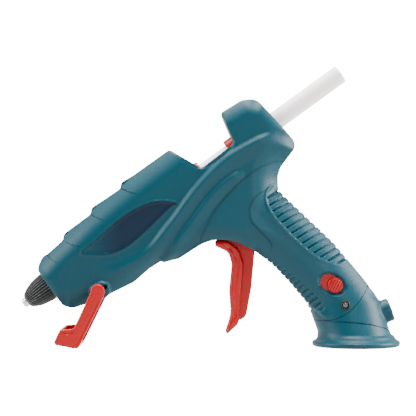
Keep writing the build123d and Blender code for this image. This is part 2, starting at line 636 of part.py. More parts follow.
# ---- output ----
parts = {
    "left_shell": left_shell,
    "right_shell": right_shell,
    "foot_moulding": foot_moulding,
    "foot_plate": plate_disc,
    "foot_pad": rubber_pad,
    "foot_screws": Compound(foot_screws),
    "shell_screws": Compound(shell_screws),
    "nozzle_tip": nozzle_tip,
    "nozzle_sleeve": nozzle_sleeve,
    "check_ball": check_ball,
    "check_spring": check_spring,
    "melt_chamber": melt_chamber,
    "ptc_heater": ptc_heater,
    "heater_clip": heater_clip,
    "chamber_front_ring": front_ring,
    "chamber_rear_ring": rear_ring,
    "inlet_sleeve": inlet_sleeve,
    "sleeve_clamp": sleeve_clamp,
    "carriage": carriage,
    "drive_pin": drive_pin,
    "gripper_plate": gripper_plate,
    "gripper_pin": gripper_pin,
    "glue_stick": glue_stick,
    "trigger": trigger,
    "trigger_pivot_pin": pivot_pin,
    "return_spring": return_spring,
    "stand": stand,
    "switch_knob": knob,
    "switch_slider": slider,
    "switch_body": switch_body,
    "lamp_bezel": bezel,
    "lamp_lens": lens,
    "circuit_board": circuit_board,
    "power_inlet": power_inlet,
    "inlet_pins": Compound(inlet_pins),
    "live_wire": live_wire,
    "switched_wire": switched_wire,
    "neutral_wire": neutral_wire,
}
os.makedirs("parts", exist_ok=True)
for name, piece in parts.items():
    export_step(piece, f"parts/{name}.step")
print("carriage stroke", round(carriage_stroke, 3), "lever height", round(lever_height, 3))
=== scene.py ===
import math

import bmesh
import bpy
import numpy as np
from mathutils import Matrix, Vector
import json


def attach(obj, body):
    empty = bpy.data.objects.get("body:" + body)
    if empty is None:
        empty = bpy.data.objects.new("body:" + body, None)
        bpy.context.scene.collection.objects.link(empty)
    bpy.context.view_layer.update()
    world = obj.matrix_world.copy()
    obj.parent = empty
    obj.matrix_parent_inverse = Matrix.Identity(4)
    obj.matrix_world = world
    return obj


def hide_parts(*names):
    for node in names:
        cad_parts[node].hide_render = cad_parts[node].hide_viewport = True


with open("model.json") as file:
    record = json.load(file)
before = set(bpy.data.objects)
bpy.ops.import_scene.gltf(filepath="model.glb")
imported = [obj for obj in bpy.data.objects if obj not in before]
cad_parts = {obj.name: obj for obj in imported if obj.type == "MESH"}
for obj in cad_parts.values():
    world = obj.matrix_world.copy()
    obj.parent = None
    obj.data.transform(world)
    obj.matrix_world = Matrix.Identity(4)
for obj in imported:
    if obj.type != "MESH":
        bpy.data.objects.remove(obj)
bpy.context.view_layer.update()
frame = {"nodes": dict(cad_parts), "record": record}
MM = 0.001          # the numbers below are millimetres

# ---- Camera ----
# A level view square to the gun's left side, from about 1 m, as for a catalogue picture.
camera_data = bpy.data.cameras.new("camera")
camera_data.lens = 147.1
camera_data.sensor_width = 36.0
camera_data.clip_start = 0.05
camera = bpy.data.objects.new("camera", camera_data)
camera.location = (-88.8 * MM, -1020 * MM, 82.8 * MM)
camera.rotation_euler = (math.radians(90), 0, 0)
bpy.context.scene.collection.objects.link(camera)
bpy.context.scene.camera = camera


# ---- Light table and studio light ----
# The gun stands on a glowing white table against a white wall. A wide soft box hangs overhead, one
# stands at each side, and the room behind the viewer is dim, so the sides go deep and edges stay light.
# A faint narrow spot lifts the handle.
def linear(colour):
    """An sRGB hex colour as the linear values that shaders take."""
    channels = [int(colour[i:i + 2], 16) / 255 for i in (1, 3, 5)]
    return [c / 12.92 if c <= 0.04045 else ((c + 0.055) / 1.055) ** 2.4 for c in channels] + [1.0]


def node(tree, kind, settings=None, links=None):
    """Adds a shader node. Settings are properties or sockets by name, links are sockets fed from outputs."""
    new = tree.nodes.new(kind)
    for key, value in (settings or {}).items():
        if hasattr(new, key):
            setattr(new, key, value)
        else:
            new.inputs[key].default_value = value
    for key, source in (links or {}).items():
        tree.links.new(source, new.inputs[key])
    return new


backdrop_glow = 16.0      # the wall and the table burn out to plain white in the picture
table_glow = 2.2          # what the table really gives to the underside of the gun
table_light = bpy.data.materials.new("glowing_opal_acrylic")
table_light.use_nodes = True
table_shader = table_light.node_tree.nodes["Principled BSDF"]
table_shader.inputs["Base Color"].default_value = linear("#000000")
table_shader.inputs["Roughness"].default_value = 1.0
table_shader.inputs["Specular IOR Level"].default_value = 0.0
table_shader.inputs["Emission Color"].default_value = linear("#ffffff")
seen = node(table_light.node_tree, "ShaderNodeLightPath")
glow_levels = {"data_type": "FLOAT", "A": table_glow, "B": backdrop_glow}
glow = node(table_light.node_tree, "ShaderNodeMix", glow_levels, {"Factor": seen.outputs["Is Camera Ray"]})
table_light.node_tree.links.new(glow.outputs["Result"], table_shader.inputs["Emission Strength"])
table_mesh = bpy.data.meshes.new("table_top")
table_form = bmesh.new()
bmesh.ops.create_grid(table_form, x_segments=1, y_segments=1, size=6.0)
table_form.to_mesh(table_mesh)
table_form.free()
table_top = bpy.data.objects.new("table_top", table_mesh)
table_top.data.materials.append(table_light)
bpy.context.scene.collection.objects.link(table_top)

world = bpy.data.worlds.new("studio")
world.use_nodes = True
tree = world.node_tree
toward = node(tree, "ShaderNodeTexCoord")
axes = node(tree, "ShaderNodeSeparateXYZ", links={"Vector": toward.outputs["Generated"]})
room = node(tree, "ShaderNodeMapRange", {"From Min": -0.85, "From Max": 0.25, "To Min": 0.02, "To Max": 1.2},
            {"Value": axes.outputs["Y"]})
seen = node(tree, "ShaderNodeLightPath")
wall_white = node(tree, "ShaderNodeMix", {"data_type": "FLOAT", "B": backdrop_glow},
                  {"Factor": seen.outputs["Is Camera Ray"], "A": room.outputs["Result"]})
tree.links.new(wall_white.outputs["Result"], tree.nodes["Background"].inputs["Strength"])
tree.nodes["Background"].inputs["Color"].default_value = linear("#ffffff")
bpy.context.scene.world = world
gun_middle = (-0.085, 0, 0.07)
for name, spot, target, size, power, spread in (
    ("overhead_box", (-0.15, -0.05, 1.1), gun_middle, (1.2, 0.7), 52.0, 180),
    ("right_box", (1.0, -0.05, 0.35), gun_middle, (0.5, 0.9), 42.0, 180),
    ("left_box", (-1.1, -0.25, 0.45), gun_middle, (0.4, 0.8), 14.0, 180),
    ("front_box", (-0.1, -1.3, 1.0), gun_middle, (1.0, 0.5), 0.8, 180),
    ("handle_spot", (0.25, -0.9, 0.2), (-0.01, 0, 0.03), (0.1, 0.1), 0.045, 26),
):
    lamp = bpy.data.lights.new(name, "AREA")
    lamp.shape = "RECTANGLE"
    lamp.size, lamp.size_y = size
    lamp.energy = power
    lamp.spread = math.radians(spread)
    light = bpy.data.objects.new(name, lamp)
    light.location = spot
    aim = Vector(target) - Vector(spot)
    light.rotation_euler = aim.to_track_quat("-Z", "Y").to_euler()
    bpy.context.scene.collection.objects.link(light)


# ---- Housing: left shell, right shell and foot moulding ----
# Three mouldings in teal ABS with a fine spark-eroded texture. The two shells part on the centre
# line and are screwed together from the right; their lower ends slot into the foot moulding.
def rounded(corners):
    """A closed outline from (x, z, radius) corners, with an arc at each."""
    points = []
    for i, (x, z, radius) in enumerate(corners):
        here = np.array((x, z), float)
        before = np.array(corners[i - 1][:2], float) - here
        after = np.array(corners[(i + 1) % len(corners)][:2], float) - here
        before /= np.linalg.norm(before)
        after /= np.linalg.norm(after)
        half = math.acos(max(-1, min(1, before @ after))) / 2
        if radius <= 0 or half > 1.5:
            points.append(here)
            continue
        tangent = radius / math.tan(half)
        middle = (before + after) / np.linalg.norm(before + after)
        centre = here + middle * radius / math.sin(half)
        start = here + before * tangent - centre
        end = here + after * tangent - centre
        steps = max(2, int(radius * (math.pi - 2 * half) / 0.9))
        turn = math.atan2(start[0] * end[1] - start[1] * end[0], start @ end)
        for k in range(steps + 1):
            a = turn * k / steps
            points.append(centre + (start[0] * math.cos(a) - start[1] * math.sin(a),
                                    start[0] * math.sin(a) + start[1] * math.cos(a)))
    return np.array(points)


def oblong(middle, turn, half_length, half_width, radius=0):
    """A rounded rectangle of the side view, about a middle and turned by an angle."""
    cosine, sine = math.cos(turn), math.sin(turn)
    corners = [(-half_length, -half_width), (half_length, -half_width),
               (half_length, half_width), (-half_length, half_width)]
    return rounded([(middle[0] + a * cosine - b * sine, middle[1] + a * sine + b * cosine, radius)
                    for a, b in corners])


def smooth_curve(points, steps=8, closed=False):
    """A curve that runs smoothly through given points."""
    ends = (points[-1], points[0], points[1]) if closed else (points[0], points[-1])
    p = np.array([ends[0], *points, *ends[1:]], float)
    out = []
    for i in range(1, len(p) - 2):
        for k in range(steps):
            t = k / steps
            out.append(0.5 * (2 * p[i] + (p[i + 1] - p[i - 1]) * t
                              + (2 * p[i - 1] - 5 * p[i] + 4 * p[i + 1] - p[i + 2]) * t * t
                              + (3 * p[i] - p[i - 1] - 3 * p[i + 1] + p[i + 2]) * t ** 3))
    return np.array(out if closed else out + [p[-2]])


def nearest(curve, x, z, closed=False):
    """For each place: signed distance to a curve (positive to its left) and share of its length."""
    line = np.vstack([curve, curve[:1]]) if closed else curve
    best = np.full(len(x), 1e9)
    side = np.ones(len(x))
    along = np.zeros(len(x))
    lengths = np.linalg.norm(np.diff(line, axis=0), axis=1)
    total = lengths.sum()
    done = 0.0
    for (ax, az), (bx, bz), length in zip(line[:-1], line[1:], lengths):
        if length < 1e-9:
            continue
        dx, dz = (bx - ax) / length, (bz - az) / length
        t = np.clip((x - ax) * dx + (z - az) * dz, 0, length)
        ox, oz = x - ax - t * dx, z - az - t * dz
        distance = ox * ox + oz * oz
        closer = distance < best
        best = np.where(closer, distance, best)
        side = np.where(closer, np.where(dx * (z - az) - dz * (x - ax) >= 0, 1, -1), side)
        along = np.where(closer, (done + t) / total, along)
        done += length
    return np.sqrt(best) * side, along


def ease(value, low, high):
    """0 below low, 1 above high, smooth between."""
    t = np.clip((value - low) / (high - low), 0, 1)
    return t * t * (3 - 2 * t)


def mesh_object(name, form):
    mesh = bpy.data.meshes.new(name)
    form.to_mesh(mesh)
    form.free()
    piece = bpy.data.objects.new(name, mesh)
    bpy.context.scene.collection.objects.link(piece)
    return piece


def apply_modifiers(piece):
    """Bakes a piece's modifiers into its mesh."""
    graph = bpy.context.evaluated_depsgraph_get()
    made = bpy.data.meshes.new_from_object(piece.evaluated_get(graph))
    piece.modifiers.clear()
    old = piece.data
    piece.data = made
    bpy.data.meshes.remove(old)
    return piece


def even_out(piece, grid, passes=0):
    """Gives a closed piece an even mesh, and softens it by some passes."""
    remesh = piece.modifiers.new("grid", "REMESH")
    remesh.mode = "VOXEL"
    remesh.voxel_size = grid * MM
    if passes:
        relax = piece.modifiers.new("relax", "SMOOTH")
        relax.factor = 0.5
        relax.iterations = passes
    return apply_modifiers(piece)


def prism(form, outline, y_low, y_high):
    """Adds a side-view outline, given its width."""
    ring = [form.verts.new((x * MM, y_low * MM, z * MM)) for x, z in outline]
    face = form.faces.new(ring)
    grown = bmesh.ops.extrude_face_region(form, geom=[face])
    top = [v for v in grown["geom"] if isinstance(v, bmesh.types.BMVert)]
    bmesh.ops.translate(form, verts=top, vec=(0, (y_high - y_low) * MM, 0))
    bmesh.ops.recalc_face_normals(form, faces=form.faces[:])


def prism_object(name, outline, y_low, y_high):
    form = bmesh.new()
    prism(form, outline, y_low, y_high)
    return mesh_object(name, form)


def places(piece):
    """Every vertex of a piece, in millimetres."""
    co = np.empty(len(piece.data.vertices) * 3, np.float32)
    piece.data.vertices.foreach_get("co", co)
    return co.reshape(-1, 3).astype(float) / MM


def normals(piece):
    out = np.empty(len(piece.data.vertices) * 3, np.float32)
    piece.data.vertices.foreach_get("normal", out)
    return out.reshape(-1, 3).astype(float)


def move_to(piece, co):
    piece.data.vertices.foreach_set("co", (co * MM).astype(np.float32).ravel())
    piece.data.update()


def cut(piece, tool, operation="DIFFERENCE", keep_tool=False):
    """Cuts one closed piece with another, or joins or intersects them."""
    knife = piece.modifiers.new("cut", "BOOLEAN")
    knife.operation = operation
    knife.solver = "MANIFOLD"
    knife.object = tool
    apply_modifiers(piece)
    if not keep_tool:
        bpy.data.objects.remove(tool)
    return piece


def copy_of(piece, name):
    twin = bpy.data.objects.new(name, piece.data.copy())
    bpy.context.scene.collection.objects.link(twin)
    return twin


def round_bar(form, start, direction, radius, length, segments=64, bevel=0.0):
    """Adds a bar from a point along a direction, with its far rim bevelled."""
    bar = bmesh.ops.create_cone(form, cap_ends=True, segments=segments, radius1=radius * MM,
                                radius2=radius * MM, depth=length * MM)["verts"]
    if bevel:
        top = max(v.co.z for v in bar)
        rim = [e for e in form.edges if all(v in set(bar) and v.co.z > top - 1e-6 for v in e.verts)]
        made = bmesh.ops.bevel(form, geom=rim, offset=bevel * MM, segments=4, profile=0.5,
                               affect="EDGES", material=-1)
        bar = list({*[v for v in bar if v.is_valid], *made["verts"]})
    aim = Vector(direction).normalized()
    turn = Vector((0, 0, 1)).rotation_difference(aim).to_matrix().to_4x4()
    middle = Vector(start) * MM + aim * length * MM / 2
    bmesh.ops.transform(form, matrix=Matrix.Translation(middle) @ turn, verts=bar)


def bar_object(name, *bars):
    """One object from (start, direction, radius, length) bars that don't touch."""
    form = bmesh.new()
    for start, direction, radius, length in bars:
        round_bar(form, start, direction, radius, length)
    return mesh_object(name, form)


barrel_tilt = math.radians(36)
nozzle_end = Vector((-199.5, 0, 25.2))
rearward = Vector((math.cos(barrel_tilt), 0, math.sin(barrel_tilt)))
upward = Vector((-math.sin(barrel_tilt), 0, math.cos(barrel_tilt)))


def on_barrel(s, p=0.0, y=0.0):
    """The point s along the barrel and p above its axis."""
    return nozzle_end + rearward * s + upward * p + Vector((0, y, 0))


# Side view of the barrel, hump and handle.
body_corners = [
    (-174.6, 24.3, 4), (-190.6, 46.4, 4), (-187.6, 54.2, 5), (-184.8, 55.2, 0.4), (-175.2, 63.7, 0.5),
    (-174.9, 67.2, 3), (-168.6, 71.9, 5), (-158.6, 79.2, 0.5), (-158.5, 82.8, 3), (-151.6, 87.2, 5),
    (-141.0, 94.4, 0.5), (-140.9, 97.8, 3), (-134.4, 101.6, 6), (-111.8, 117.6, 1.2), (-92.6, 106.2, 2.5),
    (-73.4, 121.2, 3), (-81.3, 139.3, 0.8), (-68.8, 147.0, 5), (-60.2, 147.6, 6), (-35.2, 120.6, 6),
    (-47.6, 104.4, 16), (-46.8, 93.4, 5), (-38.4, 85.4, 20), (-14.0, 62.4, 40), (6.8, 37.4, 40),
    (12.0, 28.0, 3), (6.0, 20.0, 4), (-20.0, 18.0, 4), (-29.4, 25.6, 6), (-40.0, 38.2, 60),
    (-50.4, 49.2, 40), (-61.6, 57.6, 12), (-73.5, 63.4, 25), (-87.5, 64.6, 24), (-106.4, 52.4, 2),
    (-114.8, 52.3, 6), (-123.6, 46.8, 14), (-132.6, 38.8, 6), (-151.2, 29.6, 10), (-168.4, 23.2, 8),
]
body_line = rounded(body_corners)
body_half = 17.4
wall = 2.3
grid = 0.64

# The sides are crowned: (curve of the edge, reach in, fall, power), soft along the top, the hump and
# the handle, crisp elsewhere.
shoulders = [
    (((-190, 50), (-184, 57), (-175, 65.5), (-158, 81.5), (-141, 96), (-112, 118.5)), 13.0, 8.5, 1.8),
    (((-82, 140), (-68, 148.5), (-60, 148)), 11.0, 7.0, 1.8),
    (((-38, 124), (-37, 117), (-44, 110), (-47.5, 101), (-47, 93)), 16.0, 9.0, 1.9),
    (((-47, 93), (-38, 85.5), (-14, 62.8), (6.8, 37.6), (12, 28)), 17.0, 9.5, 2.1),
    (((-29.5, 25.5), (-40, 38), (-50.5, 49), (-61, 57.2)), 15.0, 8.0, 2.0),
    (((-61, 57.2), (-72, 62.6), (-86, 64), (-95, 61)), 8.0, 4.5, 2.0),
    (((-95, 61), (-106.5, 52.6), (-115, 52), (-124, 46.5), (-133, 38.8)), 12.0, 6.5, 1.9),
    (((-133, 38.8), (-151, 29.6), (-168, 23.4), (-174, 24)), 11.0, 5.5, 1.9),
    (((-174, 24), (-190.4, 46.6)), 3.0, 1.6, 2.0),
    (((-112, 118), (-93, 106.6), (-74, 121), (-81, 139)), 1.6, 0.9, 2.0),
    (((-60, 148), (-38, 124)), 6.5, 3.2, 2.0),
]


def crown(piece, depth_in):
    """Shapes the sides of a flat-sided piece, at a depth below the housing's skin."""
    co = places(piece)
    x, z = co[:, 0], co[:, 2]
    along = (x - nozzle_end.x) * rearward.x + (z - nozzle_end.z) * rearward.z
    down_handle = 0.62 * (x + 60) - 0.78 * (z - 62)
    half = body_half - 2.2 * (1 - ease(along, 18, 60)) - 2.4 * ease(down_handle, -6, 22)
    fall = np.zeros(len(x))
    for curve, width, depth, power in shoulders:
        distance = np.abs(nearest(smooth_curve(curve), x, z)[0])
        this = depth * np.clip(1 - distance / width, 0, 1) ** power
        fall = np.maximum(fall, this) + 0.12 * np.minimum(fall, this)
    co[:, 1] *= (np.clip(half - fall, 4, None) - depth_in) / np.abs(co[:, 1]).max()
    move_to(piece, co)


def oval_stack(name, sections, inset=0.0):
    """Oval sections, (height, middle, half length, half width), skinned into one solid."""
    form = bmesh.new()
    rings = []
    for level, middle, length, width in sections:
        ring = bmesh.ops.create_circle(form, segments=96, radius=1.0)["verts"]
        bmesh.ops.scale(form, vec=((length - inset) * MM, (width - inset) * MM, 1), verts=ring)
        bmesh.ops.translate(form, vec=(middle * MM, 0, level * MM), verts=ring)
        rings.append(ring)
    for lower, upper in zip(rings[:-1], rings[1:]):
        loops = [e for e in form.edges if set(e.verts) <= set(lower) or set(e.verts) <= set(upper)]
        bmesh.ops.bridge_loops(form, edges=loops)
    for ring in (rings[0], rings[-1]):
        bmesh.ops.contextual_create(form, geom=ring)
    bmesh.ops.recalc_face_normals(form, faces=form.faces[:])
    return mesh_object(name, form)


def turned(name, profile, steps=96, closed=True, on_axis=True):
    """A turned piece from (place, radius) points, on the barrel's axis or standing on the foot's."""
    form = bmesh.new()
    if on_axis:
        line = [form.verts.new((s * MM, 0, r * MM)) for s, r in profile]
        axis = (1, 0, 0)
    else:
        line = [form.verts.new((r * MM, 0, s * MM)) for s, r in profile]
        axis = (0, 0, 1)
    pairs = list(zip(line[:-1], line[1:])) + ([(line[-1], line[0])] if closed else [])
    edges = [form.edges.new(pair) for pair in pairs]
    bmesh.ops.spin(form, geom=line + edges, axis=axis, cent=(0, 0, 0), steps=steps,
                   angle=math.tau, use_merge=True)
    bmesh.ops.remove_doubles(form, verts=form.verts[:], dist=1e-7)
    bmesh.ops.recalc_face_normals(form, faces=form.faces[:])
    if on_axis:
        place = Matrix.Translation(nozzle_end * MM) @ Matrix.Rotation(-barrel_tilt, 4, "Y")
        bmesh.ops.transform(form, matrix=place, verts=form.verts[:])
    return mesh_object(name, form)


def slab(name, outline, y_low, y_high, edge, grid_size, passes=1):
    """A plate with this side view and rounded side edges."""
    piece = even_out(prism_object(name, outline, y_low, y_high), grid_size)
    co = places(piece)
    middle, half = (y_low + y_high) / 2, (y_high - y_low) / 2
    inside = np.minimum(np.abs(nearest(outline, co[:, 0], co[:, 2], closed=True)[0]), edge)
    short = edge - np.sqrt(edge ** 2 - (edge - inside) ** 2)
    co[:, 1] = middle + (co[:, 1] - middle) * (half - short) / half
    move_to(piece, co)
    return even_out(piece, grid_size, passes)


# The barrel, hump and handle, the neck of the foot in leaning ovals, its flange, and the inlet's boss.
body = even_out(prism_object("housing", body_line, -body_half, body_half), grid)
crown(body, 0.0)
neck_sections = [
    (2.0, -0.6, 22.6, 22.2), (5.0, -0.7, 22.6, 22.0), (9.0, -1.4, 21.7, 20.8), (15.0, -3.5, 21.8, 18.8),
    (21.0, -5.6, 21.9, 17.4), (27.0, -8.0, 22.2, 16.3), (33.0, -12.2, 22.4, 15.4),
    (39.0, -17.4, 22.0, 14.7), (42.0, -20.2, 21.0, 13.6),
]
flange_profile = [(0, 0), (0, 25.3), (0.5, 26.1), (1.4, 26.4), (2.6, 26.4), (3.3, 26.0), (3.5, 25.2),
                  (3.7, 24.4), (4.4, 23.8), (5.4, 23.2), (6.6, 22.6), (6.6, 0)]
inlet_axis = Vector((math.cos(math.radians(21)), 0, math.sin(math.radians(21))))
inlet_face = Vector((21.0, 0, 22.3))
form = bmesh.new()
round_bar(form, inlet_face - inlet_axis * 14, inlet_axis, 7.0, 14.0, bevel=0.8)
boss = mesh_object("boss_form", form)
stand_pivot = Vector((-153.7, 0, 33.7))
pivot_pad_line = oblong((stand_pivot.x + 1.2, stand_pivot.z), barrel_tilt, 6.5, 5.0, 4.9)
pivot_pad = slab("pad_form", pivot_pad_line, -18.4, 18.4, 1.2, grid)
neck = oval_stack("neck_form", neck_sections)
flange = turned("flange_form", flange_profile, 144, on_axis=False)
for other in (neck, flange, boss, pivot_pad):
    cut(body, other, "UNION")
even_out(body, grid, 5)

# Relief on the skin. Each entry pushes the surface out along its normal.
# Its curves are set out in the centre plane as seen from the camera, so the places on the sides are
# first spread out from the middle of the view.
view_middle = (-88.8, 82.8)
view_distance = 1020.0


def spread(co):
    """Where each place on a side meets the centre plane, seen from the camera on that side."""
    scale = view_distance / (view_distance - np.abs(co[:, 1]))
    return (view_middle[0] + (co[:, 0] - view_middle[0]) * scale,
            view_middle[1] + (co[:, 2] - view_middle[1]) * scale)


def at_side(points, out=17.0):
    """Centre-plane points brought to where they lie on a side face."""
    scale = 1 - out / view_distance
    return [(view_middle[0] + (x - view_middle[0]) * scale, view_middle[1] + (z - view_middle[1]) * scale)
            for x, z in points]


rib_border = smooth_curve([
    (-49, 97.5), (-52.6, 93), (-53.4, 88.5), (-52, 83.5), (-48.5, 77.5), (-42.5, 70.5), (-36, 64),
    (-28, 56.8), (-20, 51.6), (-13, 49.4), (-6, 48.0), (2, 45.5),
])
x, z = spread(places(body))
in_ribs = (nearest(rib_border, x, z)[0] > -2.5) & (x > -58) & (z > 40) & (z < 100)
form = bmesh.new()
form.from_mesh(body.data)
form.verts.ensure_lookup_table()
fine = [e for e in form.edges if in_ribs[e.verts[0].index] and in_ribs[e.verts[1].index]]
bmesh.ops.subdivide_edges(form, edges=fine, cuts=1, use_grid_fill=True)
form.to_mesh(body.data)
form.free()
co, out = places(body), normals(body)
x, z = spread(co)
y = co[:, 1]
push = np.zeros(len(x))


def ends(share, first, last):
    """Fades a feature in over its first share and out over its last."""
    return ease(share, 0, first) * (1 - ease(share, 1 - last, 1))


main_ridge = smooth_curve([
    (-46, 130.3), (-58, 125.5), (-65, 122), (-72, 118), (-78, 114), (-85, 108), (-92, 101), (-98, 94),
    (-104, 86), (-110, 77.5), (-116, 70), (-122, 62), (-128, 56), (-135, 51.5), (-145, 47.5), (-157, 46),
])
second_ridge = smooth_curve([
    (-68, 107), (-80, 99), (-88, 91), (-95, 82), (-100, 75), (-106, 67), (-112, 58), (-118, 51.5),
])
for ridge, height, front, back, last in (
    (main_ridge, 2.3, 1.9, 11.0, 0.35),
    (second_ridge, 1.6, 1.7, 8.0, 0.02),
):
    d, share = nearest(ridge, x, z)
    rise = ease(d, -front, front) * (1 - ease(d, front, back))
    push += height * rise * ends(share, 0.1, last)

# The leaf-shaped panel on each side has a fine raised lip all round. The grip has a shallow scoop behind
# its border line, and slanting ribs round the back of the handle.
leaf_line = smooth_curve(at_side([
    (-107.5, 85.4), (-112, 86.6), (-118, 87), (-125, 85.5), (-132, 82.4), (-140, 77.5), (-149, 70),
    (-158, 62), (-164.5, 56), (-158, 54.5), (-148, 55.2), (-141, 57.5), (-134, 62), (-126, 69),
    (-118, 76.8), (-111, 83.4),
]), closed=True)
grip_line = smooth_curve([
    (-51, 95.5), (-57, 92), (-61, 88.5), (-63.5, 84), (-64, 80), (-63, 75), (-60, 71.5), (-55, 66.5),
    (-52, 63), (-50.5, 60), (-51, 57),
])
d, share = nearest(leaf_line, co[:, 0], co[:, 2], closed=True)
push += 0.45 * (1 - ease(np.abs(np.abs(d) - 0.5), 0.0, 1.1)) * (np.abs(y) > 10)
d, share = nearest(grip_line, x, z)
push -= 0.9 * ease(d, 0.0, 7.0) * (1 - ease(d, 8.0, 20.0)) * ends(share, 0.25, 0.3) * (x > -66)
d, share = nearest(rib_border, x, z)
rib_pitch = 4.28
phase = (0.53 * x - 0.848 * z + 103.5) / rib_pitch
place = np.abs(phase - np.round(phase)) * rib_pitch
on_grip = ease(d, -0.2, 1.4) * (np.round(phase) >= 0) * (np.round(phase) <= 13) * (x > -60)
push -= on_grip * 1.1 * np.clip(1.1 - place / 0.8, 0, 1) * (1.15 - 0.5 * ease(d, 2, 12))
push += 0.5 * (1 - ease(np.abs(d + 0.6), 0.0, 1.6)) * ends(share, 0.02, 0.6) * (x > -60)

# Finger notches down the front of the handle.
front_edge = smooth_curve([(-56, 53.4), (-47.5, 45.5), (-40, 38), (-33, 30.5), (-28.5, 23.5), (-26.4, 17.5)])
d, share = nearest(front_edge, x, z)
notch_pitch = 3.5
phase = (0.5 * x - 0.866 * z + 47) / notch_pitch
place = np.abs(phase - np.round(phase)) * notch_pitch
reach_in = 2.0 + 8.0 * share
notch = (1 - ease(place, 0.2, 1.0)) * (1 - ease(np.abs(d), reach_in - 2.0, reach_in))
push -= (0.55 + 0.5 * share) * notch * ease(share, 0.0, 0.08) * (1 - ease(share, 0.92, 0.99))

# Oval finger recess round the switch, on the left side only.
switch_middle = (-14.3, 37.2)
switch_turn = math.radians(154)
a = (x - switch_middle[0]) * math.cos(switch_turn) + (z - switch_middle[1]) * math.sin(switch_turn)
b = (z - switch_middle[1]) * math.cos(switch_turn) - (x - switch_middle[0]) * math.sin(switch_turn)
oval = np.sqrt((a / 9.9) ** 2 + (b / 7.0) ** 2)
push -= 1.7 * (1 - ease(oval, 0.72, 1.0)) * (y < 0)
move_to(body, co + out * push[:, None])

# Fine lines and the leaf-shaped panel on each side are cut to one shallow depth below the skin.
line_depth = 0.45


def stroke(points, out, width=0.9, taper=0.15):
    """The outline of a line that narrows towards its ends."""
    line = smooth_curve(at_side(points, out))
    step = np.gradient(line, axis=0)
    across = np.stack([-step[:, 1], step[:, 0]], 1) / np.linalg.norm(step, axis=1)[:, None]
    share = np.linspace(0, 1, len(line))
    half = np.maximum(np.interp(share, [0, taper, 1 - taper, 1], [0.12, 1, 1, 0.12]) * width / 2, 0.05)
    return np.vstack([line + across * half[:, None], (line - across * half[:, None])[::-1]])


fine_lines = [
    stroke([(-93.8, 61.0), (-92.5, 66), (-89, 73), (-85, 81), (-80, 87.5), (-75, 93), (-70, 98), (-64, 103),
            (-58, 107), (-52, 109.7), (-48, 110.7), (-43, 111)], 14),
    stroke([(-51, 95.5), (-57, 92), (-61, 88.5), (-63.5, 84), (-64, 80), (-63, 75), (-60, 71.5), (-55, 66.5),
            (-52, 63), (-50.5, 60), (-51, 57)], 13, taper=0.35),
    stroke([(-185.4, 55.6), (-183, 52.6), (-178, 50)], 6, taper=0.5),
    stroke([(-174, 62.6), (-171, 61.2), (-168, 60.3), (-165, 60)], 6, taper=0.5),
    stroke([(-159.4, 79.6), (-156, 77.4), (-150.5, 75.3)], 6, taper=0.5),
    stroke([(-141.6, 95.0), (-137, 92.8), (-131.2, 91)], 6, taper=0.5),
    stroke([(-19.5, 15.0), (-8, 14.5), (0, 13.8), (8, 12.8), (14, 11.2), (22, 8.7)], 16, taper=0.1),
]
form = bmesh.new()
for outline in (leaf_line, *fine_lines):
    prism(form, outline, -30, 30)
relief = mesh_object("relief_tool", form)
under_skin = copy_of(body, "under_skin")
move_to(under_skin, places(body) - normals(body) * line_depth)
cut(relief, under_skin, keep_tool=True)
cut(body, relief)


# ---- Housing: hollow, openings, screw wells and parting ----
# The shells are 2.3 mm thick inside. They open for the nozzle, the stick, the trigger, the switch, the
# lamp and the supply socket, and they part with a hair gap on the centre line and round the foot.
def moved_in(outline, depth):
    """A clockwise outline moved inwards, without the places that fold back over themselves."""
    step = np.roll(outline, -1, 0) - np.roll(outline, 1, 0)
    inward = np.stack([step[:, 1], -step[:, 0]], 1) / np.linalg.norm(step, axis=1)[:, None]
    moved = outline + inward * depth
    gap = np.abs(nearest(outline, moved[:, 0], moved[:, 1], closed=True)[0])
    return moved[gap > depth * 0.98]


rim_groove = turned("rim_groove", [(3.7, 21.8), (3.8, 24.2), (4.5, 23.6), (4.9, 21.8)], 144, on_axis=False)
cut(body, rim_groove)
hollow = even_out(prism_object("hollow", moved_in(body_line, wall), -body_half, body_half), 1.2)
crown(hollow, wall)
neck_hollow = [(3.3 if i == 0 else level, *rest) for i, (level, *rest) in enumerate(neck_sections[:-2])]
cut(hollow, oval_stack("neck_hollow", neck_hollow, wall), "UNION")
cut(body, hollow)
screw_spots = [on_barrel(41.0, 12.4), on_barrel(80.0, -22.5), on_barrel(112.0, 15.5), on_barrel(176.0, 15.5),
               Vector((-51.5, 0, 86.0)), Vector((-28.0, 0, 63.0)), Vector((-31.0, 0, 38.4))]
barrel_head_top, handle_head_top, head_height = 12.5, 10.0, 1.6
across = Vector((0, 1, 0))
screws = [(spot, barrel_head_top if i < 4 else handle_head_top) for i, spot in enumerate(screw_spots)]
up = Vector((0, 0, 1))
